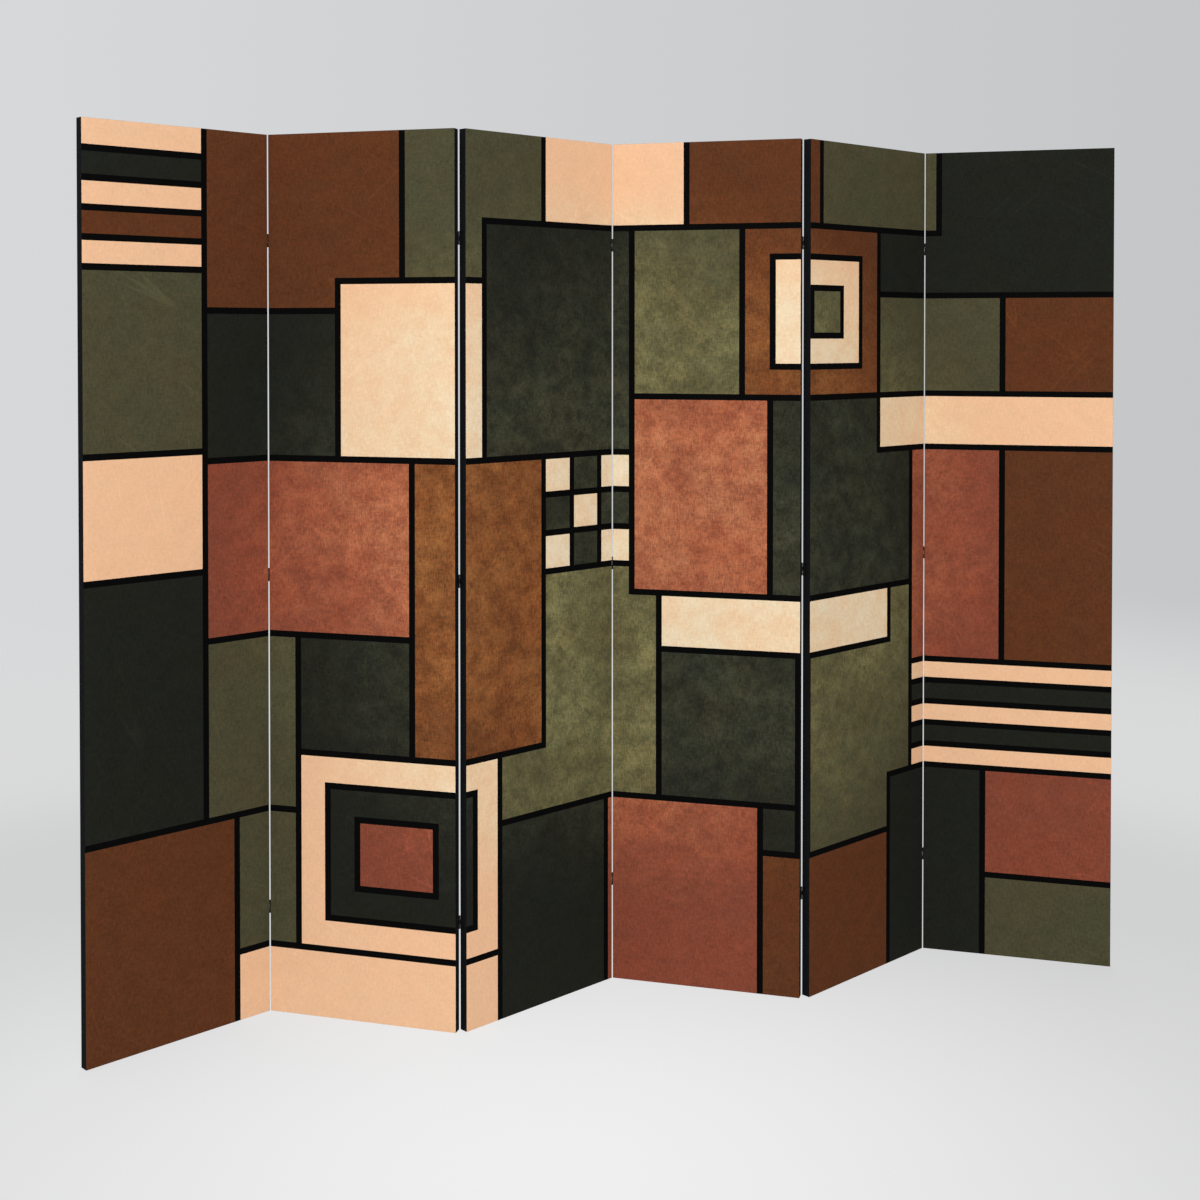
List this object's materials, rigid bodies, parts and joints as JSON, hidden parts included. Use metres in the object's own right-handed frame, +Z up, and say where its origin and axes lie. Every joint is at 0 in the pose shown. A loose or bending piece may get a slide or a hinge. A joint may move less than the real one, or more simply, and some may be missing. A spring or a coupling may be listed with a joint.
{
  "type": "folding room divider",
  "caption": "Free-standing folding screen of flat canvas-covered panels on timber stretcher frames, hinged edge to edge.",
  "frame": {"origin": "middle of the bounding box, on the floor", "axes": "+X along the screen from its left end to its right as seen from the printed side, +Y from the printed side to the back, +Z up"},
  "size_m": [2.1792, 0.2194, 1.8],
  "materials": {
    "frame_timber": "planed, unfinished",
    "printed_canvas": "matte printed cotton canvas with black turned edges",
    "black_cover": "matte plain weave",
    "black_hinges": "satin black",
    "black_screws": "satin black",
    "hinge_pins": "dark drawn wire"
  },
  "bodies": {
    "panel_1": {"panel_1_left_stile": "frame_timber", "panel_1_right_stile": "frame_timber", "panel_1_end_rails": "frame_timber", "panel_1_cross_rails": "frame_timber", "panel_1_front_canvas": "printed_canvas", "panel_1_back_canvas": "black_cover", "panel_1_hinge_screws": "black_screws", "fold_1_2_left_leaves": "black_hinges", "fold_1_2_pins": "hinge_pins"},
    "panel_2": {"panel_2_left_stile": "frame_timber", "panel_2_right_stile": "frame_timber", "panel_2_end_rails": "frame_timber", "panel_2_cross_rails": "frame_timber", "panel_2_front_canvas": "printed_canvas", "panel_2_back_canvas": "black_cover", "panel_2_hinge_screws": "black_screws", "fold_1_2_right_leaves": "black_hinges", "fold_2_3_left_leaves": "black_hinges", "fold_2_3_pins": "hinge_pins"},
    "panel_3": {"panel_3_left_stile": "frame_timber", "panel_3_right_stile": "frame_timber", "panel_3_end_rails": "frame_timber", "panel_3_cross_rails": "frame_timber", "panel_3_front_canvas": "printed_canvas", "panel_3_back_canvas": "black_cover", "panel_3_hinge_screws": "black_screws", "fold_2_3_right_leaves": "black_hinges", "fold_3_4_left_leaves": "black_hinges", "fold_3_4_pins": "hinge_pins"},
    "panel_4": {"panel_4_left_stile": "frame_timber", "panel_4_right_stile": "frame_timber", "panel_4_end_rails": "frame_timber", "panel_4_cross_rails": "frame_timber", "panel_4_front_canvas": "printed_canvas", "panel_4_back_canvas": "black_cover", "panel_4_hinge_screws": "black_screws", "fold_3_4_right_leaves": "black_hinges", "fold_4_5_left_leaves": "black_hinges", "fold_4_5_pins": "hinge_pins"},
    "panel_5": {"panel_5_left_stile": "frame_timber", "panel_5_right_stile": "frame_timber", "panel_5_end_rails": "frame_timber", "panel_5_cross_rails": "frame_timber", "panel_5_front_canvas": "printed_canvas", "panel_5_back_canvas": "black_cover", "panel_5_hinge_screws": "black_screws", "fold_4_5_right_leaves": "black_hinges", "fold_5_6_left_leaves": "black_hinges", "fold_5_6_pins": "hinge_pins"},
    "panel_6": {"panel_6_left_stile": "frame_timber", "panel_6_right_stile": "frame_timber", "panel_6_end_rails": "frame_timber", "panel_6_cross_rails": "frame_timber", "panel_6_front_canvas": "printed_canvas", "panel_6_back_canvas": "black_cover", "panel_6_hinge_screws": "black_screws", "fold_5_6_right_leaves": "black_hinges"}
  },
  "joints": [
    {"name": "fold_1_2", "type": "hinge", "parent": "panel_2", "child": "panel_1", "pos_m": [-0.72741, 0.09309, 0.9], "axis": [0, 0, 1], "range_deg": [-60, 120]},
    {"name": "fold_2_3", "type": "hinge", "parent": "panel_3", "child": "panel_2", "pos_m": [-0.36371, -0.09265, 0.9], "axis": [0, 0, -1], "range_deg": [-60, 120]},
    {"name": "fold_3_4", "type": "hinge", "parent": "panel_3", "child": "panel_4", "pos_m": [0, 0.09309, 0.9], "axis": [0, 0, -1], "range_deg": [-60, 120]},
    {"name": "fold_4_5", "type": "hinge", "parent": "panel_4", "child": "panel_5", "pos_m": [0.36371, -0.09265, 0.9], "axis": [0, 0, 1], "range_deg": [-60, 120]},
    {"name": "fold_5_6", "type": "hinge", "parent": "panel_5", "child": "panel_6", "pos_m": [0.72741, 0.09309, 0.9], "axis": [0, 0, -1], "range_deg": [-60, 120]}
  ]
}
